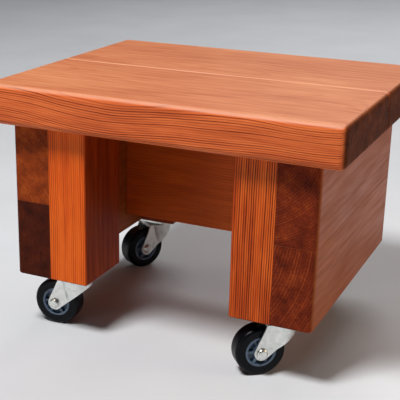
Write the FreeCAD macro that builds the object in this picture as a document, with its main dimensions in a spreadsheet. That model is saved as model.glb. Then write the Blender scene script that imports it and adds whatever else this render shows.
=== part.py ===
# Plant pot caddy: a small redwood platform on four swivel casters.
# Millimetres.  +Z is up, +Y points to the back, +X to the right.  The origin is on the floor,
# under the middle of the platform.
import FreeCAD, Part
import math
import os
import re
import Sketcher
from FreeCAD import Placement, Rotation, Vector

# ---------------------------------------------------------------- driving dimensions
DIMENSIONS = {
    # lumber
    "lumber": 38,                 # thickness of every board
    "top_length": 342,
    "top_depth": 284,
    "seam_gap": 0.6,              # between the two top boards
    "overhang_side": 22,          # top past the side boards
    "overhang_front": 14,         # top past the board ends, front and back
    "side_board_height": 75.5,    # two are stacked on each side
    "post_width": 39,
    "front_post_depth": 68,
    "rear_post_depth": 62,
    "stretcher_height": 132,
    "eased_radius": 6,            # rounded outer edges of the top
    "seam_radius": 2,             # the top boards' edges along the seam
    "leg_radius": 5,              # upright outer edges of the base
    "post_radius": 2,             # upright edges of the posts, in the recess
    "foot_radius": 1.6,           # lower edges of the base
    "joint_radius": 0.5,          # edges where two side boards meet
    "arris_radius": 1,            # all other edges
    # dowels
    "dowel_diameter": 8,
    "dowel_length": 40,
    "dowel_play": 0.1,            # on the diameter
    "dowel_end_gap": 1,
    "seam_dowel_pitch": 110,
    "side_dowel_offset": 70,      # dowels in the side boards, either side of the middle
    "stretcher_dowel_rise": 35,   # above and below the stretcher's middle
    # where the casters' kingpins stand
    "caster_front": 98,
    "caster_rear": 86,
    "caster_front_left": 99,
    "caster_rear_left": 102,
    "caster_right": 111,
    # caster plate and its screws
    "mount_height": 56,           # floor to the underside of the wood
    "plate_side": 38,
    "plate_thickness": 2,
    "plate_corner": 4,
    "screw_offset": 14.5,
    "screw_diameter": 3.6,
    "screw_length": 16,
    "screw_head_diameter": 7,
    "screw_head_height": 2.2,
    "screw_play": 0.2,            # of its holes, on the diameter
    # swivel
    "kingpin_diameter": 8,
    "kingpin_collar": 13,
    "kingpin_head": 2.3,
    "swivel_gap": 0.3,            # above and below the crown
    "race_height": 3.2,           # plate to crown
    "ball_diameter": 2.8,
    "ball_circle": 11,
    # fork
    "sheet_metal": 1.8,
    "crown_radius": 17,
    "skirt_radius": 12.6,         # lower end of its cone: proud of the cheeks, so a fold shows between
    "skirt_depth": 26,
    "skirt_open": 8,              # the skirt is open towards the wheel up to here
    "crown_edge": 1.2,            # rounding of the crown's rim
    "cheek_gap": 20,              # inside, between the two cheeks
    "cheek_boss": 7,              # radius of the rounded lower end
    "cheek_back": 15.5,           # top corner of the cheek, behind the kingpin
    "cheek_front": 10.5,          # where the skirt takes over at the top
    "cheek_toe": 1,               # and at the lower edge
    "fork_angle": 40,             # of the fork's lower edge to the floor, in degrees
    "trail": 20,                  # kingpin to axle
    # wheel
    "wheel_diameter": 46.5,
    "wheel_width": 17.6,
    "tyre_shoulder": 3.4,
    "hub_diameter": 28.6,
    "hub_rim": 2,
    "hub_boss_diameter": 14,
    "hub_web": 9,
    "spoke_width": 2.2,
    "axle_diameter": 6,
    "axle_head_diameter": 10,
    "axle_head_height": 3.2,
    "axle_head_round": 2.4,
    "axle_end": 1.5,              # past the nut
    "nut_flats": 10,
    "nut_thickness": 5,
    "bush_diameter": 8,
    "running_play": 0.12,         # of turning fits, on the diameter
}
BALLS = 12
SPOKES = 6

# How far each caster has swivelled, in degrees: at 0 its wheel trails straight to the left.
SWIVEL = {"front_left": 5, "front_right": 39, "rear_left": 60, "rear_right": 22}

doc = FreeCAD.newDocument("plant_pot_caddy")
sheet = doc.addObject("Spreadsheet::Sheet", "Dimensions")
for row, (alias, number) in enumerate(DIMENSIONS.items(), start=1):
    sheet.set(f"A{row}", alias)
    sheet.set(f"B{row}", str(number))
    sheet.setAlias(f"B{row}", alias)
doc.recompute()

nodes = []


def cell(expression):
    """An expression in the sheet's aliases, as another object has to write it."""
    def with_sheet(word):
        name = word.group()
        return f"Dimensions.{name}" if name in DIMENSIONS else name

    return re.sub(r"[a-z_]+", with_sheet, expression)


def size(alias):
    return float(sheet.get(alias))


# ---------------------------------------------------------------- sketches and features
def new_body(label):
    body = doc.addObject("PartDesign::Body", label)
    body.Label = label
    nodes.append(body)
    return body


def new_sketch(body, role, offset="0"):
    """A sketch on one of the body's origin planes, moved along the plane's normal."""
    sketch = body.newObject("Sketcher::SketchObject", body.Name + "_sketch")
    plane = next(part for part in body.Origin.OriginFeatures if part.Role == role)
    sketch.AttachmentSupport = [(plane, "")]
    sketch.MapMode = "FlatFace"
    sketch.setExpression("AttachmentOffset.Base.z", cell(offset))
    return sketch


def bind(sketch, kind, *place, to):
    """A driving constraint whose value is an expression in the sheet's aliases."""
    index = sketch.addConstraint(Sketcher.Constraint(kind, *place, 1.0))
    sketch.setExpression(f"Constraints[{index}]", cell(to))


def circle(sketch, across, along, diameter):
    ring = sketch.addGeometry(Part.Circle(Vector(0, 0, 0), Vector(0, 0, 1), 1))
    bind(sketch, "DistanceX", -1, 1, ring, 3, to=across)
    bind(sketch, "DistanceY", -1, 1, ring, 3, to=along)
    bind(sketch, "Diameter", ring, to=diameter)


def outline(sketch, corners):
    """A closed outline of straight lines through corners given as pairs of expressions."""
    start = [Vector(math.cos(step), math.sin(step), 0)
             for step in (2 * math.pi * number / len(corners) for number in range(len(corners)))]
    lines = [sketch.addGeometry(Part.LineSegment(point, start[(number + 1) % len(start)]))
             for number, point in enumerate(start)]
    for number, line in enumerate(lines):
        sketch.addConstraint(Sketcher.Constraint("Coincident", line, 2, lines[(number + 1) % len(lines)], 1))
    for line, (across, along) in zip(lines, corners):
        bind(sketch, "DistanceX", -1, 1, line, 1, to=across)
        bind(sketch, "DistanceY", -1, 1, line, 1, to=along)


def rectangle(sketch, left, right, bottom, top):
    outline(sketch, [(left, bottom), (right, bottom), (right, top), (left, top)])


def feature(kind, sketch, **settings):
    """A feature made from a sketch.  Text settings are bound to the sheet, others are set."""
    body = sketch.getParentGeoFeatureGroup()
    made = body.newObject("PartDesign::" + kind, body.Name + "_" + kind.lower())
    made.Profile = sketch
    for name, setting in settings.items():
        if isinstance(setting, str):
            made.setExpression(name, cell(setting))
        else:
            setattr(made, name, setting)
    sketch.Visibility = False
    return made


def cut(kind, sketch, **settings):
    """A feature that removes material, with a check that it did."""
    doc.recompute()
    body = sketch.getParentGeoFeatureGroup()
    before = body.Tip.Shape.Volume
    made = feature(kind, sketch, **settings)
    doc.recompute()
    if not made.Shape.Volume < before - 1e-3:
        raise RuntimeError(f"{made.Name} cut nothing from {body.Label}")
    return made


def revolve(sketch):
    return feature("Revolution", sketch, ReferenceAxis=(sketch, ["V_Axis"]), Angle=360.0)


def round_edges(body, radius, chosen):
    """Round the edges of the body's last feature that the test picks out."""
    doc.recompute()
    last = body.Tip
    names = [f"Edge{number}" for number, edge in enumerate(last.Shape.Edges, start=1) if chosen(edge)]
    fillet = body.newObject("PartDesign::Fillet", body.Name + "_fillet")
    fillet.Base = (last, names)
    fillet.setExpression("Radius", cell(radius))
    return fillet


def polar_copies(feature_made, count, axis):
    body = feature_made.getParentGeoFeatureGroup()
    pattern = body.newObject("PartDesign::PolarPattern", body.Name + "_pattern")
    pattern.Originals = [feature_made]
    pattern.Axis = (feature_made.Profile[0], [axis])
    pattern.Angle = 360
    pattern.Occurrences = count
    body.Tip = pattern
    return pattern


def stands(edge):
    return edge.BoundBox.XLength < 1e-6 and edge.BoundBox.YLength < 1e-6


def at_x(edge, place):
    return abs(edge.BoundBox.XMin - place) < 1e-6 and abs(edge.BoundBox.XMax - place) < 1e-6


def at_y(edge, place):
    return abs(edge.BoundBox.YMin - place) < 1e-6 and abs(edge.BoundBox.YMax - place) < 1e-6


def at_z(edge, place):
    return abs(edge.BoundBox.ZMin - place) < 1e-6 and abs(edge.BoundBox.ZMax - place) < 1e-6


# ---------------------------------------------------------------- boards
# The boards' sketches share one frame: the middle of the base's underside.
INNER_FACE = "(top_length/2 - overhang_side - lumber)"          # of the side boards
BOARD_END = "(top_depth/2 - overhang_front)"                    # of the side boards and posts
POST_MIDDLE = f"({INNER_FACE} - post_width/2)"
FRONT_POST_MIDDLE = f"-({BOARD_END} - front_post_depth/2)"
REAR_POST_MIDDLE = f"({BOARD_END} - rear_post_depth/2)"
STRETCHER_BACK = f"({BOARD_END} - rear_post_depth)"
STRETCHER_MIDDLE = f"({STRETCHER_BACK} - lumber/2)"
BASE_TOP = "2*side_board_height"
BORE = "dowel_length/2 + dowel_end_gap"
BORE_WIDTH = "dowel_diameter + dowel_play"
PILOT = "screw_length - plate_thickness + dowel_end_gap"
PILOT_WIDTH = "screw_diameter + screw_play"
LEVEL_MIDDLES = ("side_board_height/2", "3*side_board_height/2")
STRETCHER_DOWELS = [f"{BASE_TOP} - stretcher_height/2 {sign} stretcher_dowel_rise" for sign in "-+"]
SEAM_DOWELS = ("-seam_dowel_pitch", "0", "seam_dowel_pitch")
STACK_DOWELS = ("-side_dowel_offset", "side_dowel_offset")

# Each caster: side (-1 left, 1 right), how far out and where along Y its kingpin stands.
CASTERS = {
    "front_left": (-1, "caster_front_left", "-caster_front"),
    "front_right": (1, "caster_right", "-caster_front"),
    "rear_left": (-1, "caster_rear_left", "caster_rear"),
    "rear_right": (1, "caster_right", "caster_rear"),
}


def board(label, left, right, front, back, bottom, top):
    """A plain board between six planes of the base's frame."""
    body = new_body(label)
    plan = new_sketch(body, "XY_Plane", bottom)
    rectangle(plan, left, right, front, back)
    feature("Pad", plan, Length=f"{top} - ({bottom})")
    body.Placement.Base.z = size("mount_height")
    return body


def bores(body, role, offset, places, depth, width, forward):
    """Round blind holes from a plane at the offset; forward cuts along the plane's normal."""
    rings = new_sketch(body, role, offset)
    for across, along in places:
        circle(rings, across, along, width)
    cut("Pocket", rings, Length=depth, Reversed=forward)


def screw_places(name, outer):
    """Where one caster's two outer or two inner screws enter the wood."""
    side, across, along = CASTERS[name]
    return [(f"{side}*({across} {'+' if outer else '-'} screw_offset)", f"{along} {sign} screw_offset")
            for sign in "-+"]


def top_board(label, end):
    """One of the two boards of the top: end is -1 in front, 1 behind."""
    seam, edge = f"{end}*seam_gap/2", f"{end}*top_depth/2"
    front, back = (edge, seam) if end < 0 else (seam, edge)
    body = board(label, "-top_length/2", "top_length/2", front, back, BASE_TOP, f"{BASE_TOP} + lumber")
    seam_face = end * size("seam_gap") / 2
    round_edges(body, "eased_radius", lambda edge: not at_y(edge, seam_face))
    round_edges(body, "seam_radius", lambda edge: at_y(edge, seam_face))
    middle = f"{BASE_TOP} + lumber/2"
    seam_places = [(place, middle) for place in SEAM_DOWELS]
    bores(body, "XZ_Plane", f"-({seam})", seam_places, BORE, BORE_WIDTH, end < 0)
    post_middle = FRONT_POST_MIDDLE if end < 0 else REAR_POST_MIDDLE
    down = [(f"{side}*({INNER_FACE} + lumber/2)", f"{end}*side_dowel_offset") for side in (-1, 1)]
    down += [(f"{side}*{POST_MIDDLE}", post_middle) for side in (-1, 1)]
    bores(body, "XY_Plane", BASE_TOP, down, BORE, BORE_WIDTH, True)


def side_board(label, side, level):
    """One of the two stacked boards of a side: side is -1 left, 1 right; level is 0 low, 1 high."""
    inner, outer = f"{side}*{INNER_FACE}", f"{side}*({INNER_FACE} + lumber)"
    left, right = (outer, inner) if side < 0 else (inner, outer)
    bottom = f"{level}*side_board_height"
    body = board(label, left, right, f"-{BOARD_END}", BOARD_END, bottom, f"{bottom} + side_board_height")
    outer_face = side * (size("top_length") / 2 - size("overhang_side"))
    round_edges(body, "leg_radius", lambda edge: stands(edge) and at_x(edge, outer_face))
    if level == 0:
        round_edges(body, "foot_radius", lambda edge: at_z(edge, 0))
    meeting = size("side_board_height")
    round_edges(body, "joint_radius", lambda edge: at_z(edge, meeting))
    stack = [(f"{side}*({INNER_FACE} + lumber/2)", along) for along in STACK_DOWELS]
    bores(body, "XY_Plane", f"{bottom} + side_board_height", stack, BORE, BORE_WIDTH, False)
    if level == 1:
        bores(body, "XY_Plane", bottom, stack, BORE, BORE_WIDTH, True)
    inward = [(middle, LEVEL_MIDDLES[level]) for middle in (FRONT_POST_MIDDLE, REAR_POST_MIDDLE)]
    inward.append((STRETCHER_MIDDLE, STRETCHER_DOWELS[level]))
    bores(body, "YZ_Plane", inner, inward, BORE, BORE_WIDTH, side > 0)
    if level == 0:
        casters = [name for name in CASTERS if CASTERS[name][0] == side]
        screws = [place for name in casters for place in screw_places(name, True)]
        bores(body, "XY_Plane", "0", screws, PILOT, PILOT_WIDTH, True)


def post(name):
    """A post inside one corner, which carries the caster together with the side board."""
    side = CASTERS[name][0]
    in_front = name.startswith("front")
    inner, outer = f"{side}*({INNER_FACE} - post_width)", f"{side}*{INNER_FACE}"
    left, right = (outer, inner) if side < 0 else (inner, outer)
    if in_front:
        front, back, middle = f"-{BOARD_END}", f"-({BOARD_END} - front_post_depth)", FRONT_POST_MIDDLE
    else:
        front, back, middle = STRETCHER_BACK, BOARD_END, REAR_POST_MIDDLE
    body = board(name + "_post", left, right, front, back, "0", BASE_TOP)
    inner_face = side * (number(INNER_FACE) - size("post_width"))
    round_edges(body, "post_radius", lambda edge: stands(edge) and at_x(edge, inner_face))
    round_edges(body, "foot_radius", lambda edge: at_z(edge, 0))
    bores(body, "XY_Plane", BASE_TOP, [(f"{side}*{POST_MIDDLE}", middle)], BORE, BORE_WIDTH, False)
    places = [(middle, height) for height in LEVEL_MIDDLES]
    bores(body, "YZ_Plane", outer, places, BORE, BORE_WIDTH, side < 0)
    bores(body, "XY_Plane", "0", screw_places(name, False), PILOT, PILOT_WIDTH, True)


def stretcher():
    """The board across the back of the recess, between the side boards and against the rear posts."""
    body = board("stretcher", f"-{INNER_FACE}", INNER_FACE, f"{STRETCHER_BACK} - lumber", STRETCHER_BACK,
                 f"{BASE_TOP} - stretcher_height", BASE_TOP)
    round_edges(body, "arris_radius", lambda edge: True)
    for side in (-1, 1):
        ends = [(STRETCHER_MIDDLE, height) for height in STRETCHER_DOWELS]
        bores(body, "YZ_Plane", f"{side}*{INNER_FACE}", ends, BORE, BORE_WIDTH, side < 0)


# ---------------------------------------------------------------- loose round pieces, in groups
def rod(label, width, length, base, turn=None):
    """A plain cylinder, from its base along its own axis, which the turn sets."""
    made = doc.addObject("Part::Cylinder", label)
    made.setExpression("Radius", cell(f"({width})/2"))
    made.setExpression("Height", cell(length))
    made.Placement = Placement(base, turn or Rotation())
    return made


def group(label, pieces, place=None):
    made = doc.addObject("Part::Compound", label)
    made.Label = label
    made.Links = pieces
    made.Placement = place or Placement()
    nodes.append(made)


def number(expression):
    """What an expression in the sheet's aliases comes to, for a point that a piece stands at."""
    probe = doc.addObject("App::FeaturePython", "probe")
    probe.addProperty("App::PropertyFloat", "Result")
    probe.setExpression("Result", cell(expression))
    probe.recompute()
    result = probe.Result
    doc.removeObject(probe.Name)
    return result


ALONG_X = Rotation(Vector(0, 1, 0), 90)
ALONG_Y = Rotation(Vector(1, 0, 0), -90)
UPWARD = Rotation()


def dowels(label, middles, turn):
    """Dowels that lie half in each of two boards, centred on the joint."""
    lift = Vector(0, 0, size("mount_height"))
    half = turn.multVec(Vector(0, 0, size("dowel_length") / 2))
    pieces = [rod(label + "_dowel", "dowel_diameter", "dowel_length",
                  Vector(*map(number, middle)) + lift - half, turn) for middle in middles]
    group(label, pieces)


def all_dowels():
    sides = (-1, 1)
    posts = (FRONT_POST_MIDDLE, REAR_POST_MIDDLE)
    dowels("top_seam_dowels", [(place, "0", f"{BASE_TOP} + lumber/2") for place in SEAM_DOWELS], ALONG_Y)
    board_middle = f"({INNER_FACE} + lumber/2)"
    down = [(f"{side}*{board_middle}", along, BASE_TOP) for side in sides for along in STACK_DOWELS]
    down += [(f"{side}*{POST_MIDDLE}", middle, BASE_TOP) for side in sides for middle in posts]
    dowels("top_dowels", down, UPWARD)
    dowels("side_board_dowels", [(f"{side}*({INNER_FACE} + lumber/2)", along, "side_board_height")
                                 for side in sides for along in STACK_DOWELS], UPWARD)
    dowels("post_dowels", [(f"{side}*{INNER_FACE}", middle, height) for side in sides
                           for middle in posts for height in LEVEL_MIDDLES], ALONG_X)
    dowels("stretcher_dowels", [(f"{side}*{INNER_FACE}", STRETCHER_MIDDLE, height) for side in sides
                                for height in STRETCHER_DOWELS], ALONG_X)


# ---------------------------------------------------------------- casters
# Every caster's sketches use its own frame: the kingpin is the Z axis, the wood is at z = 0 and,
# before it swivels, the wheel trails towards -X.
CROWN_TOP = "-(plate_thickness + race_height)"
CROWN_UNDER = f"({CROWN_TOP} - sheet_metal)"
AXLE_HEIGHT = "-(mount_height - wheel_diameter/2)"
CROWN_MIDDLE = f"({CROWN_TOP} - sheet_metal/2)"
CHEEK_OUT = "(cheek_gap/2 + sheet_metal)"
RISE = "tan(fork_angle * 1 deg)"
# Height of the fork's lower edge under the kingpin: a line that touches the round end by the axle.
LOWER_EDGE = f"({AXLE_HEIGHT} - cheek_boss/cos(fork_angle * 1 deg) + trail*{RISE})"
FIXED_BORE = "axle_diameter + dowel_play"


def caster_plate(name, place):
    """The square plate with rounded corners, four screw holes and the kingpin's hole."""
    body = new_body(name + "_plate")
    plan = new_sketch(body, "XY_Plane")
    rectangle(plan, "-plate_side/2", "plate_side/2", "-plate_side/2", "plate_side/2")
    feature("Pad", plan, Length="plate_thickness", Reversed=True)
    round_edges(body, "plate_corner", stands)
    holes = [(f"{left}*screw_offset", f"{front}*screw_offset") for left in (-1, 1) for front in (-1, 1)]
    bores(body, "XY_Plane", "0", holes, "plate_thickness", PILOT_WIDTH, False)
    bores(body, "XY_Plane", "0", [("0", "0")], "plate_thickness", "kingpin_diameter + dowel_play", False)
    body.Placement = place


def caster_screws(name, place):
    """Four pan-head wood screws, up through the plate into the wood."""
    pieces = []
    for left in (-1, 1):
        for front in (-1, 1):
            offset = size("screw_offset")
            foot = Vector(left * offset, front * offset, -size("plate_thickness"))
            shank = rod(name + "_shank", "screw_diameter", "screw_length", foot)
            head = doc.addObject("Part::Cone", name + "_head")
            head.setExpression("Radius1", cell("screw_head_diameter/3"))
            head.setExpression("Radius2", cell("screw_head_diameter/2"))
            head.setExpression("Height", cell("screw_head_height"))
            head.Placement.Base = foot - Vector(0, 0, size("screw_head_height"))
            screw = doc.addObject("Part::Fuse", name + "_screw")
            screw.Base = shank
            screw.Tool = head
            pieces.append(screw)
    group(name + "_screws", pieces, place)


def caster_balls(name, place):
    """The ring of balls between the plate and the fork's crown."""
    pieces = []
    for step in range(BALLS):
        ball = doc.addObject("Part::Sphere", name + "_ball")
        ball.setExpression("Radius", cell("ball_diameter/2"))
        turn = Rotation(Vector(0, 0, 1), step * 360 / BALLS)
        ball.Placement.Base = turn.multVec(Vector(size("ball_circle"), 0, 0))
        ball.Placement.Base.z = -size("plate_thickness") - size("ball_diameter") / 2
        pieces.append(ball)
    group(name + "_balls", pieces, place)


def kingpin(name, place):
    """The rivet that the fork turns on: shank, collar under the plate, and head under the crown."""
    body = new_body(name + "_kingpin")
    shank, collar = "kingpin_diameter/2", "kingpin_collar/2"
    collar_under = f"{CROWN_TOP} + swivel_gap"
    head_top = f"{CROWN_UNDER} - swivel_gap"
    profile = new_sketch(body, "XZ_Plane")
    outline(profile, [
        ("0", "0"), (shank, "0"), (shank, "-plate_thickness"), (collar, "-plate_thickness"),
        (collar, collar_under), (shank, collar_under), (shank, head_top), (collar, head_top),
        (collar, f"{head_top} - kingpin_head"), ("0", f"{head_top} - kingpin_head")])
    revolve(profile)
    doc.recompute()
    lowest = body.Tip.Shape.BoundBox.ZMin
    round_edges(body, "arris_radius", lambda edge: abs(edge.BoundBox.ZMax - lowest) < 1e-3)
    body.Placement = place


def cheek_outline(sketch):
    """A cheek's side view: round about the axle, and widening up to the crown."""
    axle = Vector(-size("trail"), number(AXLE_HEIGHT), 0)
    boss = size("cheek_boss")
    slope = math.radians(size("fork_angle"))
    height = number(CROWN_MIDDLE)
    top_back, top_front = Vector(-size("cheek_back"), height, 0), Vector(-size("cheek_front"), height, 0)
    reach = top_back - axle
    lean = math.atan2(reach.y, reach.x) + math.acos(boss / reach.Length)
    bottom = 1.5 * math.pi + slope
    high, middle, low = (axle + Vector(math.cos(turn), math.sin(turn), 0) * boss
                         for turn in (lean, (lean + bottom) / 2, bottom))
    toe = Vector(-size("cheek_toe"), low.y + math.tan(slope) * (-size("cheek_toe") - low.x), 0)
    back = sketch.addGeometry(Part.LineSegment(top_back, high))
    round_end = sketch.addGeometry(Part.Arc(high, middle, low))
    lower = sketch.addGeometry(Part.LineSegment(low, toe))
    crease = sketch.addGeometry(Part.LineSegment(toe, top_front))
    upper = sketch.addGeometry(Part.LineSegment(top_front, top_back))
    sketch.addConstraint(Sketcher.Constraint("Tangent", back, 2, round_end, 1))
    sketch.addConstraint(Sketcher.Constraint("Tangent", round_end, 2, lower, 1))
    sketch.addConstraint(Sketcher.Constraint("Coincident", lower, 2, crease, 1))
    sketch.addConstraint(Sketcher.Constraint("Coincident", crease, 2, upper, 1))
    sketch.addConstraint(Sketcher.Constraint("Coincident", upper, 2, back, 1))
    bind(sketch, "DistanceX", -1, 1, round_end, 3, to="-trail")
    bind(sketch, "DistanceY", -1, 1, round_end, 3, to=AXLE_HEIGHT)
    bind(sketch, "Radius", round_end, to="cheek_boss")
    bind(sketch, "DistanceX", -1, 1, back, 1, to="-cheek_back")
    bind(sketch, "DistanceY", -1, 1, back, 1, to=CROWN_MIDDLE)
    bind(sketch, "DistanceX", -1, 1, upper, 1, to="-cheek_front")
    bind(sketch, "DistanceY", -1, 1, upper, 1, to=CROWN_MIDDLE)
    bind(sketch, "DistanceX", -1, 1, crease, 1, to="-cheek_toe")
    bind(sketch, "DistanceY", -1, 1, crease, 1, to=f"{LOWER_EDGE} - cheek_toe*{RISE}")


def fork(name, place):
    """The pressed fork: a round crown, a conical skirt in front, and two flat cheeks to the axle."""
    body = new_body(name + "_fork")
    bore = "(kingpin_diameter + running_play)/2"
    profile = new_sketch(body, "XZ_Plane")
    outline(profile, [
        (bore, CROWN_TOP), ("crown_radius", CROWN_TOP), ("skirt_radius", f"{CROWN_TOP} - skirt_depth"),
        ("skirt_radius - sheet_metal", f"{CROWN_TOP} - skirt_depth"),
        ("crown_radius - 1.2*sheet_metal", CROWN_UNDER), (bore, CROWN_UNDER)])
    revolve(profile)
    crown_top = number(CROWN_TOP)
    round_edges(body, "crown_edge", lambda edge: abs(edge.BoundBox.ZMin - crown_top) < 1e-3
                and abs(edge.BoundBox.XMax - size("crown_radius")) < 1e-3)
    below = new_sketch(body, "XZ_Plane")
    reach = "(crown_radius + sheet_metal)"
    outline(below, [(f"-{reach}", f"{LOWER_EDGE} - {reach}*{RISE}"), (f"-{reach}", "-mount_height"),
                    (reach, "-mount_height"), (reach, f"{LOWER_EDGE} + {reach}*{RISE}")])
    cut("Pocket", below, Length=f"2*{reach}", Midplane=True)
    sides = new_sketch(body, "XZ_Plane")
    cheek_outline(sides)
    feature("Pad", sides, Length=f"2*{CHEEK_OUT}", Midplane=True)
    slot = new_sketch(body, "XZ_Plane")
    rectangle(slot, "-2*trail", "skirt_open", "-mount_height", CROWN_UNDER)
    cut("Pocket", slot, Length="cheek_gap", Midplane=True)
    axle_holes = new_sketch(body, "XZ_Plane")
    circle(axle_holes, "-trail", AXLE_HEIGHT, FIXED_BORE)
    cut("Pocket", axle_holes, Length=f"2*{reach}", Midplane=True)
    body.Placement = place


# The wheel's pieces have a frame of their own: the axle is the Y axis and the bolt's head is at -Y.
def axle_bolt(name, place):
    body = new_body(name + "_axle_bolt")
    shank, head = "axle_diameter/2", "axle_head_diameter/2"
    profile = new_sketch(body, "XY_Plane")
    head_face = f"-{CHEEK_OUT} - axle_head_height"
    tip = f"{CHEEK_OUT} + nut_thickness + axle_end"
    outline(profile, [("0", head_face), (head, head_face), (head, f"-{CHEEK_OUT}"),
                      (shank, f"-{CHEEK_OUT}"), (shank, tip), ("0", tip)])
    revolve(profile)
    outer_face = number(head_face)
    round_edges(body, "axle_head_round", lambda edge: at_y(edge, outer_face)
                and edge.BoundBox.XLength > size("axle_diameter"))
    body.Placement = place


def axle_nut(name, place):
    body = new_body(name + "_axle_nut")
    face = new_sketch(body, "XZ_Plane", f"-{CHEEK_OUT}")
    half_side = "nut_flats*tan(30 deg)/2"
    corner = "nut_flats*tan(30 deg)"
    outline(face, [("nut_flats/2", f"-{half_side}"), ("nut_flats/2", half_side), ("0", corner),
                   ("-nut_flats/2", half_side), ("-nut_flats/2", f"-{half_side}"), ("0", f"-{corner}")])
    feature("Pad", face, Length="nut_thickness", Reversed=True)
    bores(body, "XZ_Plane", f"-{CHEEK_OUT}", [("0", "0")], "nut_thickness", FIXED_BORE, False)
    body.Placement = place


def sleeve(body, inner, outer, half_length):
    profile = new_sketch(body, "XY_Plane")
    rectangle(profile, inner, outer, f"-({half_length})", half_length)
    revolve(profile)


def axle_bush(name, place):
    """The tube that the hub turns on, held between the cheeks by the axle bolt."""
    body = new_body(name + "_axle_bush")
    sleeve(body, f"({FIXED_BORE})/2", "bush_diameter/2", "cheek_gap/2 - dowel_play")
    body.Placement = place


def tyre(name, place):
    body = new_body(name + "_tyre")
    sleeve(body, "hub_diameter/2", "wheel_diameter/2", "wheel_width/2")
    round_edges(body, "tyre_shoulder", lambda edge: edge.BoundBox.YLength < 1e-6
                and edge.BoundBox.XLength > size("wheel_diameter") - 1e-3)
    body.Placement = place


def hub(name, place):
    """Boss and rim joined by a thin web, with spokes on both faces of it."""
    body = new_body(name + "_hub")
    bore, boss = "(bush_diameter + running_play)/2", "hub_boss_diameter/2"
    rim, edge = "(hub_diameter/2 - hub_rim)", "hub_diameter/2"
    half, web = "wheel_width/2", "hub_web/2"
    profile = new_sketch(body, "XY_Plane")
    outline(profile, [
        (bore, f"-{half}"), (boss, f"-{half}"), (boss, f"-{web}"), (rim, f"-{web}"), (rim, f"-{half}"),
        (edge, f"-{half}"), (edge, half), (rim, half), (rim, web), (boss, web), (boss, half), (bore, half)])
    revolve(profile)
    spoke = new_sketch(body, "XY_Plane")
    spoke_half = f"({half} - hub_rim/2)"
    rectangle(spoke, f"{boss} - hub_rim/2", f"{rim} + hub_rim/2", f"-{spoke_half}", spoke_half)
    polar_copies(feature("Pad", spoke, Length="spoke_width", Midplane=True), SPOKES, "V_Axis")
    body.Placement = place


def caster(name):
    side, across, along = CASTERS[name]
    stand = Vector(number(f"{side}*{across}"), number(along), size("mount_height"))
    fixed = Placement(stand, Rotation())
    swivelled = Placement(stand, Rotation(Vector(0, 0, 1), SWIVEL[name]))
    wheel = swivelled * Placement(Vector(-size("trail"), 0, number(AXLE_HEIGHT)), Rotation())
    for make in (caster_plate, caster_screws, caster_balls, kingpin):
        make(name, fixed)
    fork(name, swivelled)
    for make in (axle_bolt, axle_nut, axle_bush, hub, tyre):
        make(name, wheel)


# ---------------------------------------------------------------- the whole caddy
def check():
    for made in doc.Objects:
        if "Invalid" in made.State or "Error" in made.State:
            raise RuntimeError(f"{made.Name} failed: {made.State}")
    for node in nodes:
        if node.Shape.isNull() or not node.Shape.isValid():
            raise RuntimeError(f"{node.Label} has no valid shape")


top_board("top_front_board", -1)
top_board("top_rear_board", 1)
for side, word in ((-1, "left"), (1, "right")):
    for level, height in enumerate(("lower", "upper")):
        side_board(f"{word}_{height}_side_board", side, level)
for corner in CASTERS:
    post(corner)
stretcher()
all_dowels()
for corner in CASTERS:
    caster(corner)
doc.recompute()
check()
os.makedirs("parts", exist_ok=True)
for node in nodes:
    node.Shape.exportStep(f"parts/{node.Label}.step")
print(len(nodes), "nodes")
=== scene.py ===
import math

import bpy
from mathutils import Matrix, Vector


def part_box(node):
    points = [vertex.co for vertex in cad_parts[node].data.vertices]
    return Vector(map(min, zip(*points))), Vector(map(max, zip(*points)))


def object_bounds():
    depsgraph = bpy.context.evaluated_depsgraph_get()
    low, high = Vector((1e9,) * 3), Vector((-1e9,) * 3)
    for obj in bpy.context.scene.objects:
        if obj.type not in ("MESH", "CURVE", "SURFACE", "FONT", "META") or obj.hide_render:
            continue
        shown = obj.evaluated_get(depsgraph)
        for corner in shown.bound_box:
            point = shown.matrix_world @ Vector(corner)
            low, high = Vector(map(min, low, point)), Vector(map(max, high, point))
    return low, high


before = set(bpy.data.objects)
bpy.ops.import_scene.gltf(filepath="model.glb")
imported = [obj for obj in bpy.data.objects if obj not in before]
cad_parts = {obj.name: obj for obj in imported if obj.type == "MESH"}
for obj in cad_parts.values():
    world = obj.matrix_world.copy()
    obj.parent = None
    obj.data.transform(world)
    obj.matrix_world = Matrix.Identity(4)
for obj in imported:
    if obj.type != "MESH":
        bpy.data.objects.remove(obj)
cad_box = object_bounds()

# Plant pot caddy: oiled redwood boards on four zinc-plated swivel casters.
MM = 0.001
CORNERS = ("front_left", "front_right", "rear_left", "rear_right")
LENGTHWAYS, DEPTHWAYS, UPRIGHT = "X", "Y", "Z"


# ---------------------------------------------------------------- sizes taken from the frame
def middle_of(box):
    low, high = (Vector(corner) for corner in box)
    return (low + high) / 2


# The caddy's length is the unit of the studio's places and widths.
SPAN = cad_box[1][0] - cad_box[0][0]
HEIGHT = cad_box[1][2] - cad_box[0][2]
MIDDLE = middle_of(cad_box)


# ---------------------------------------------------------------- helpers for materials
def linear(code):
    """An sRGB hex colour as linear values."""
    channels = [int(code[place:place + 2], 16) / 255 for place in (1, 3, 5)]
    return [value / 12.92 if value <= 0.04045 else ((value + 0.055) / 1.055) ** 2.4
            for value in channels] + [1.0]


def new_material(name):
    material = bpy.data.materials.new(name)
    material.use_nodes = True
    material.node_tree.nodes.clear()
    return material


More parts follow.
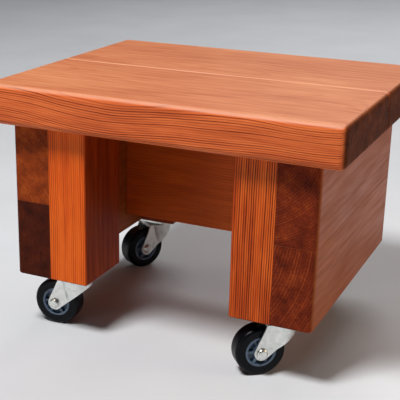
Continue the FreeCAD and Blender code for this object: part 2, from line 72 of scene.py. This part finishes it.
def add(tree, kind, settings=None, **inputs):
    """Adds a node. Settings are its properties; inputs are values, or (node, output) links."""
    node = tree.nodes.new("ShaderNode" + kind)
    for name, value in (settings or {}).items():
        setattr(node, name, value)
    for name, value in inputs.items():
        key = int(name[1:]) if name[0] == "_" else name.replace("_", " ")
        if isinstance(value, tuple) and isinstance(value[0], bpy.types.Node):
            tree.links.new(value[0].outputs[value[1]], node.inputs[key])
        else:
            node.inputs[key].default_value = value
    return node


def ramp(tree, factor, stops):
    """A colour ramp through (place, hex colour) stops."""
    node = add(tree, "ValToRGB", Fac=factor)
    elements = node.color_ramp.elements
    while len(elements) < len(stops):
        elements.new(0.5)
    for element, (place, code) in zip(elements, stops):
        element.position = place
        element.color = linear(code)
    return node


def finish_material(tree, shader):
    add(tree, "OutputMaterial", Surface=(shader, 0))


# ---------------------------------------------------------------- redwood
# Oiled redwood, planed and eased: orange early wood with fine dark late wood lines on the faces.
# The end grain drinks the oil, so it is dark, with thin paler rings.
# Each figure in the wood has a size in mm across the grain, and is drawn out along it so many times.
FIBRE, FIBRE_DRAWN = 0.8, 26.0
STREAK, STREAK_DRAWN = 5.0, 14.0
BLOTCH, BLOTCH_DRAWN = 55, 2.5
SWEEP, SWEEP_DRAWN = 110, 1.3
RIPPLE, RIPPLE_DRAWN = 14, 4.0
RIPPLE_REACH = 1.4
PORE, PATCH = 1.3, 16
PORE_DEPTH = 0.12 * MM

# Late wood within one year, which runs from 0 to 1: it darkens slowly and ends sharply.
LATE_WOOD_STARTS, LATE_WOOD_FULL = 0.40, 0.84
LATE_WOOD_FADES, YEAR_ENDS = 0.88, 1.0

# How far the surface is turned, as the cosine to the axis it may face. UPWARD places the painted
# sheen on the upper faces; ONTO_EDGE, OFF_EDGE and ROUND_THE_CORNER place the painted highlight on
# the eased upper edges.
UPWARD = (0.55, 0.90)
ONTO_EDGE, OFF_EDGE = (0.35, 0.66), (0.84, 0.985)
ROUND_THE_CORNER = (0.25, 0.60)
END_GRAIN = (0.35, 0.85)

SMOOTHEST, ROUGHEST = 0.34, 0.50
END_GRAIN_ROUGHER_BY = 0.35
WOOD_IOR, OILED_SPECULAR = 1.5, 0.12


def arithmetic(tree, operation, *values):
    inputs = {f"_{place}": value for place, value in enumerate(values)}
    return (add(tree, "Math", {"operation": operation}, **inputs), 0)


def smooth_step(tree, value, start, end, low=0.0, high=1.0):
    return (add(tree, "MapRange", {"interpolation_type": "SMOOTHSTEP"}, Value=value,
                From_Min=start, From_Max=end, To_Min=low, To_Max=high), 0)


def mixed(tree, share, first, second):
    """The first colour, with a share of the second."""
    return (add(tree, "Mix", {"data_type": "RGBA"}, Factor=share, _6=first, _7=second), 2)


def noise(tree, vector, size_mm, detail=2.0):
    return (add(tree, "TexNoise", Vector=vector, Scale=1 / size_mm, Detail=detail), 0)


def layered(tree, start, layers):
    """The start, with each layer added in its share."""
    for layer, share in layers:
        start = arithmetic(tree, "MULTIPLY_ADD", layer, share, start)
    return start


def redwood(name, grain, log, ring, tones, end_tones, strength, end_strength, painted_side_shade, wander,
            painted_highlight=None):
    """One board. grain is the axis it runs along, log the place in mm of its log's middle on the
    other two axes, ring the mean ring width in mm. The strengths are those of the late wood lines
    on the faces and on the end grain. The side-shade share darkens the faces to the left and right
    with painted shade, and wander is how far in mm the grain strays. A board given an edge colour
    gets a paler upper face, a painted sheen, and that colour along its eased upper edges, a painted
    highlight."""
    material = new_material(name)
    tree = material.node_tree
    place = add(tree, "TexCoord")
    along = "XYZ".index(grain)
    across = [axis for axis in range(3) if axis != along]

    def in_mm(stretch):
        """Object coordinates in mm, drawn out along the grain."""
        scale = [1 / MM] * 3
        scale[along] = 1 / MM / stretch
        return (add(tree, "Mapping", Vector=(place, 3), Scale=scale), 0)

    # distance from the middle of the log, which wanders slowly along the board
    spot = add(tree, "SeparateXYZ", _0=(place, 3))
    squares = []
    for axis, middle in zip(across, log):
        away = arithmetic(tree, "MULTIPLY_ADD", (spot, axis), 1 / MM, -middle)
        squares.append(arithmetic(tree, "MULTIPLY", away, away))
    radius = arithmetic(tree, "SQRT", arithmetic(tree, "ADD", *squares))
    sweep = noise(tree, in_mm(SWEEP_DRAWN), SWEEP, 1.0)
    ripple = noise(tree, in_mm(RIPPLE_DRAWN), RIPPLE)
    radius = layered(tree, radius, ((sweep, wander), (ripple, RIPPLE_REACH)))
    turns = arithmetic(tree, "DIVIDE", radius, ring)

    # each year's late wood has its own strength
    season = arithmetic(tree, "FRACT", turns)
    year = add(tree, "TexWhiteNoise", {"noise_dimensions": "1D"}, W=arithmetic(tree, "FLOOR", turns))
    rise = smooth_step(tree, season, LATE_WOOD_STARTS, LATE_WOOD_FULL)
    fall = smooth_step(tree, season, LATE_WOOD_FADES, YEAR_ENDS, 1.0, 0.0)
    line = arithmetic(tree, "MULTIPLY", rise, fall)
    line = arithmetic(tree, "MULTIPLY", line, arithmetic(tree, "MULTIPLY_ADD", (year, 0), 0.80, 0.20))

    fibre = noise(tree, in_mm(FIBRE_DRAWN), FIBRE, 3.0)
    streak = noise(tree, in_mm(STREAK_DRAWN), STREAK, 3.0)
    blotch = noise(tree, in_mm(BLOTCH_DRAWN), BLOTCH, 3.0)
    normal = add(tree, "SeparateXYZ", _0=(place, 1))
    sideways = arithmetic(tree, "ABSOLUTE", (normal, 0))
    depth = arithmetic(tree, "MULTIPLY", line, 0.85 * strength)
    # painted shade: the faces turned to the left and right are darkened
    depth = layered(tree, depth, ((fibre, 0.5), (streak, 0.7), (blotch, 0.55), (sideways, painted_side_shade)))
    depth = arithmetic(tree, "SUBTRACT", depth, 0.62)
    colour = (ramp(tree, depth, list(zip((0.0, 0.40, 1.0), tones))), 0)

    # painted sheen and painted highlight: a paler upper face, and a pale colour along the eased upper edges
    if painted_highlight:
        soft = arithmetic(tree, "MULTIPLY", line, 0.16)
        soft = layered(tree, soft, ((fibre, 0.50), (streak, 0.95), (blotch, 0.80)))
        soft = arithmetic(tree, "SUBTRACT", soft, 0.78)
        upper = ramp(tree, soft, list(zip((0.0, 0.45, 1.0), PAINTED_SHEEN_TONES)))
        upward = smooth_step(tree, (normal, 2), *UPWARD)
        colour = mixed(tree, upward, colour, (upper, 0))
        # painted highlight along the eased upper edges, fading towards the vertical corners
        onto_edge = smooth_step(tree, (normal, 2), *ONTO_EDGE)
        off_edge = smooth_step(tree, (normal, 2), *OFF_EDGE, 1.0, 0.0)
        level_edge = smooth_step(tree, sideways, *ROUND_THE_CORNER, 1.0, 0.0)
        on_edge = arithmetic(tree, "MULTIPLY", onto_edge, off_edge)
        painted_highlight_share = arithmetic(tree, "MULTIPLY", on_edge, level_edge)
        painted_highlight_share = arithmetic(tree, "MULTIPLY", painted_highlight_share, arithmetic(tree, "MULTIPLY_ADD", streak, 0.9, 0.05))
        colour = mixed(tree, painted_highlight_share, colour, tuple(linear(painted_highlight)))

    # the end grain: soft rings, fine pits, and dark and light patches
    pores = arithmetic(tree, "MULTIPLY", line, 0.30 * end_strength)
    pits = noise(tree, in_mm(1.0), PORE, 3.0)
    patches = noise(tree, in_mm(1.0), PATCH, 3.0)
    pores = layered(tree, pores, ((pits, 0.60), (patches, 1.05)))
    pores = arithmetic(tree, "SUBTRACT", pores, 0.60)
    end = ramp(tree, pores, list(zip((0.0, 0.32, 0.85), end_tones)))
    is_end = smooth_step(tree, arithmetic(tree, "ABSOLUTE", (normal, along)), *END_GRAIN)
    colour = mixed(tree, is_end, colour, (end, 0))

    # the end grain has soaked up its oil and is matt
    oiled = (add(tree, "MapRange", Value=streak, From_Min=0.3, From_Max=0.7,
                 To_Min=SMOOTHEST, To_Max=ROUGHEST), 0)
    rough = arithmetic(tree, "MULTIPLY_ADD", is_end, END_GRAIN_ROUGHER_BY, oiled)
    height = arithmetic(tree, "MULTIPLY_ADD", line, -0.5, fibre)
    bump = add(tree, "Bump", Strength=0.25, Distance=PORE_DEPTH, Height=height)
    shader = add(tree, "BsdfPrincipled", Base_Color=colour, Roughness=rough, IOR=WOOD_IOR,
                 Specular_IOR_Level=OILED_SPECULAR, Normal=(bump, 0))
    finish_material(tree, shader)
    return material


# Painted sheen: paler tones for the top boards' upper faces. Painted highlight: the colour of their eased
# upper edges, brighter on the rear board.
PAINTED_SHEEN_TONES = ("#CC8C64", "#B8704E", "#823E26")
PAINTED_EDGE_HIGHLIGHT = {"top_front_board": "#DDA890", "top_rear_board": "#E8BEA4"}
TOP_TONES = ("#E47C42", "#C86032", "#70260E")
BRIGHT_POST_TONES = ("#E46E1C", "#CE5212", "#7C2806")
DARK_POST_TONES = ("#E8742A", "#B2440F", "#4A1404")
SHADE_TONES = ("#A84416", "#88300C", "#521804")
STRETCHER_TONES = ("#D8641E", "#C05016", "#90380A")
SIDE_TONES = ("#AE5A24", "#984C1C", "#803A12")
RED_END = ("#4A1608", "#70270E", "#A8501E")
DARK_END = ("#2E0C03", "#461605", "#6E2E0E")
LIGHT_END = ("#58200A", "#86360E", "#B05A20")
TOP_END = ("#401A08", "#5C280A", "#82441C")

# How far the grain strays, in mm: posts are sawn from straight stock.
STRAIGHT, WANDERING = 4.0, 22.0

# node: grain, place of the log's middle in mm from the board's middle on the other two axes,
# ring width in mm, face tones, end tones, strength of the lines on the faces and on the end grain,
# and the share of painted shade that darkens the side faces
BOARDS = {
    "top_front_board": (LENGTHWAYS, (25, -150), 1.7, TOP_TONES, TOP_END, 1.0, 1.0, 0.0),
    "top_rear_board": (LENGTHWAYS, (-50, -120), 1.9, TOP_TONES, TOP_END, 0.9, 0.9, 0.0),
    "left_lower_side_board": (DEPTHWAYS, (-150, 10), 2.6, SIDE_TONES, DARK_END, 0.2, 0.6, 0.0),
    "left_upper_side_board": (DEPTHWAYS, (-90, -90), 2.6, SIDE_TONES, LIGHT_END, 0.2, 0.9, 0.0),
    "right_lower_side_board": (DEPTHWAYS, (-150, 45), 2.8, SIDE_TONES, RED_END, 0.2, 1.0, 0.0),
    "right_upper_side_board": (DEPTHWAYS, (-45, 55), 2.3, SIDE_TONES, RED_END, 0.2, 0.8, 0.0),
    "front_left_post": (UPRIGHT, (150, 120), 1.5, BRIGHT_POST_TONES, DARK_END, 0.75, 0.75, 0.50),
    "front_right_post": (UPRIGHT, (-190, 40), 1.9, DARK_POST_TONES, DARK_END, 1.6, 1.8, 0.30),
    "rear_left_post": (UPRIGHT, (150, -120), 1.6, SHADE_TONES, DARK_END, 0.8, 0.8, 0.40),
    "rear_right_post": (UPRIGHT, (-150, -120), 1.6, SHADE_TONES, DARK_END, 0.8, 0.8, 0.40),
    "stretcher": (LENGTHWAYS, (90, 120), 2.4, STRETCHER_TONES, DARK_END, 0.35, 0.35, 0.0),
}


# ---------------------------------------------------------------- metal, plastic, rubber
CLOUD_IN_ZINC, MARKS_IN_ZINC = 6 * MM, 0.6 * MM
CLOUD_IN_NYLON, SKIN_OF_NYLON = 7 * MM, 0.5 * MM
DUST_ON_RUBBER = 5 * MM
FIBRE_OF_BIRCH = 1.2 * MM
PRESSED_STEEL, TURNED_BOLT = 0.32, 0.30


def zinc_plate(name, roughness):
    """Bright zinc plate on pressed steel: cool grey with faint clouding and fine handling marks."""
    material = new_material(name)
    tree = material.node_tree
    place = add(tree, "TexCoord")
    cloud = add(tree, "TexNoise", Vector=(place, 3), Scale=1 / CLOUD_IN_ZINC, Detail=4.0)
    marks = add(tree, "TexNoise", Vector=(place, 3), Scale=1 / MARKS_IN_ZINC, Detail=2.0)
    colour = ramp(tree, (cloud, 0), [(0.30, "#D2D5D2"), (0.70, "#F0F2EE")])
    rough = add(tree, "MapRange", Value=(cloud, 0), From_Min=0.3, From_Max=0.7,
                To_Min=roughness - 0.06, To_Max=roughness + 0.12)
    bump = add(tree, "Bump", Strength=0.12, Distance=0.05 * MM, Height=(marks, 0))
    shader = add(tree, "BsdfPrincipled", Base_Color=(colour, 0), Metallic=1.0,
                 Roughness=(rough, 0), Normal=(bump, 0))
    finish_material(tree, shader)
    return material


def nylon_hub(name):
    """Moulded blue-grey nylon: even colour, a soft sheen and a fine moulded skin."""
    material = new_material(name)
    tree = material.node_tree
    place = add(tree, "TexCoord")
    cloud = add(tree, "TexNoise", Vector=(place, 3), Scale=1 / CLOUD_IN_NYLON, Detail=2.0)
    skin = add(tree, "TexNoise", Vector=(place, 3), Scale=1 / SKIN_OF_NYLON, Detail=2.0)
    colour = ramp(tree, (cloud, 0), [(0.3, "#43566E"), (0.7, "#5A7088")])
    bump = add(tree, "Bump", Strength=0.10, Distance=0.04 * MM, Height=(skin, 0))
    shader = add(tree, "BsdfPrincipled", Base_Color=(colour, 0), Roughness=0.38, IOR=1.53,
                 Normal=(bump, 0))
    finish_material(tree, shader)
    return material


def tyre_rubber(name):
    """Hard black rubber, moulded smooth: deep black, a low sheen, slightly dusty."""
    material = new_material(name)
    tree = material.node_tree
    place = add(tree, "TexCoord")
    dust = add(tree, "TexNoise", Vector=(place, 3), Scale=1 / DUST_ON_RUBBER, Detail=4.0)
    colour = ramp(tree, (dust, 0), [(0.42, "#020409"), (0.80, "#080B14")])
    rough = add(tree, "MapRange", Value=(dust, 0), From_Min=0.3, From_Max=0.7,
                To_Min=0.26, To_Max=0.44)
    shader = add(tree, "BsdfPrincipled", Base_Color=(colour, 0), Roughness=(rough, 0), IOR=1.52,
                 Specular_IOR_Level=0.14)
    finish_material(tree, shader)
    return material


def birch(name):
    """Plain birch dowel: pale, with faint straight fibre."""
    material = new_material(name)
    tree = material.node_tree
    place = add(tree, "TexCoord")
    fibre = add(tree, "TexNoise", Vector=(place, 3), Scale=1 / FIBRE_OF_BIRCH, Detail=3.0)
    colour = ramp(tree, (fibre, 0), [(0.3, "#B48C5C"), (0.7, "#D8B98A")])
    shader = add(tree, "BsdfPrincipled", Base_Color=(colour, 0), Roughness=0.6, IOR=1.5)
    finish_material(tree, shader)
    return material


def give(node, material):
    """Puts one material on a CAD node."""
    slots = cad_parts[node].data.materials
    slots.clear()
    slots.append(material)


def dress_boards():
    for node, (grain, from_middle, ring, *colours_and_strengths) in BOARDS.items():
        middle = middle_of(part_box(node)) / MM
        across = [axis for axis in range(3) if axis != "XYZ".index(grain)]
        log = [middle[axis] + far for axis, far in zip(across, from_middle)]
        wander = STRAIGHT if grain == UPRIGHT else WANDERING
        give(node, redwood("oiled_redwood_" + node, grain, log, ring, *colours_and_strengths, wander,
                           PAINTED_EDGE_HIGHLIGHT.get(node)))


def dress_casters():
    zinc = zinc_plate("zinc_plated_steel", PRESSED_STEEL)
    bright = zinc_plate("zinc_plated_bolt", TURNED_BOLT)
    hub = nylon_hub("moulded_nylon_hub")
    tyre = tyre_rubber("moulded_black_rubber")
    finish = {"plate": zinc, "fork": zinc, "kingpin": bright, "screws": bright, "balls": bright,
              "axle_bolt": bright, "axle_nut": bright, "axle_bush": bright, "hub": hub, "tyre": tyre}
    for corner in CORNERS:
        for piece, material in finish.items():
            give(f"{corner}_{piece}", material)


def dress_dowels():
    wood = birch("birch_dowel")
    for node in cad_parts:
        if node.endswith("_dowels"):
            give(node, wood)


# ---------------------------------------------------------------- floor, light and camera
FLOOR_WIDTH = 8
CLOUDS_PER_METRE = 6.0

# name: place and the spot it faces, both in spans from the floor under the caddy's middle,
# width in spans, power in watts, colour
LIT_SPOT = (0, 0, 0.49 * HEIGHT / SPAN)
BEHIND = (0.58, 7.60)
SOFTBOXES = {
    "key_window": ((-0.94, -2.69, 5.70), LIT_SPOT, 1.32, 51, "#FFF8F0"),
    "front_window": ((-2.49, -5.85, 1.23), LIT_SPOT, 1.02, 3.4, "#FFF6EC"),
    "back_window": ((-0.58, 5.56, 5.26), LIT_SPOT, 3.80, 13, "#FBF6F2"),
    "floor_wash": ((*BEHIND, 7.02), (*BEHIND, 0), 5.85, 34, "#FFF8F2"),
    "side_fill": ((5.56, 1.46, 2.34), LIT_SPOT, 2.34, 10, "#FFE2C4"),
}
SKY_COLOUR, SKY_STRENGTH = "#DAD8D4", 0.04

# The camera stands in front, to the right and above, and leans slightly.
YAW, PITCH, ROLL = (math.radians(turn) for turn in (25.44, 18.54, 0.77))
AIM = MIDDLE + Vector((-49, -16.7, -9)) * MM
CAMERA_DISTANCE = 2.924 * SPAN
SENSOR_MM, LENS_MM = 36, 88.6
SIDE_SHIFT = 0.1
NEAREST = 0.05


def pale_floor():
    bpy.ops.object.select_all(action="DESELECT")
    bpy.ops.mesh.primitive_plane_add(size=FLOOR_WIDTH)
    floor = bpy.context.object
    floor.name = "studio_floor"
    material = new_material("pale_floor")
    tree = material.node_tree
    place = add(tree, "TexCoord")
    cloud = add(tree, "TexNoise", Vector=(place, 3), Scale=CLOUDS_PER_METRE, Detail=3.0)
    colour = ramp(tree, (cloud, 0), [(0.3, "#C8D0DA"), (0.7, "#CFD7E1")])
    shader = add(tree, "BsdfPrincipled", Base_Color=(colour, 0), Roughness=0.55)
    finish_material(tree, shader)
    floor.data.materials.append(material)


def softbox(name, place, aim, width, power, code):
    """A square area light at a place, facing the aim."""
    place, aim = (Vector(spot) * SPAN for spot in (place, aim))
    light = bpy.data.lights.new(name, "AREA")
    light.size = width * SPAN
    light.energy = power
    light.color = linear(code)[:3]
    lamp = bpy.data.objects.new(name, light)
    lamp.location = place
    lamp.rotation_euler = (aim - place).to_track_quat("-Z", "Y").to_euler()
    bpy.context.scene.collection.objects.link(lamp)


def studio_light():
    world = bpy.data.worlds.new("studio")
    bpy.context.scene.world = world
    world.use_nodes = True
    sky = world.node_tree.nodes["Background"]
    sky.inputs["Color"].default_value = linear(SKY_COLOUR)
    sky.inputs["Strength"].default_value = SKY_STRENGTH
    for name, settings in SOFTBOXES.items():
        softbox(name, *settings)


def camera():
    ahead = Vector((-math.sin(YAW) * math.cos(PITCH), math.cos(YAW) * math.cos(PITCH), -math.sin(PITCH)))
    level = Vector((math.cos(YAW), math.sin(YAW), 0))
    up = level.cross(ahead)
    right = level * math.cos(ROLL) + up * math.sin(ROLL)
    head = up * math.cos(ROLL) - level * math.sin(ROLL)
    data = bpy.data.cameras.new("camera")
    data.sensor_width = SENSOR_MM
    data.lens = LENS_MM
    data.shift_x = SIDE_SHIFT
    data.clip_start = NEAREST
    stand = bpy.data.objects.new("camera", data)
    turn = Matrix((right, head, -ahead)).transposed().to_4x4()
    stand.matrix_world = Matrix.Translation(AIM - ahead * CAMERA_DISTANCE) @ turn
    bpy.context.scene.collection.objects.link(stand)
    bpy.context.scene.camera = stand


dress_boards()
dress_casters()
dress_dowels()
pale_floor()
studio_light()
camera()
bpy.context.scene.view_settings.view_transform = "Standard"
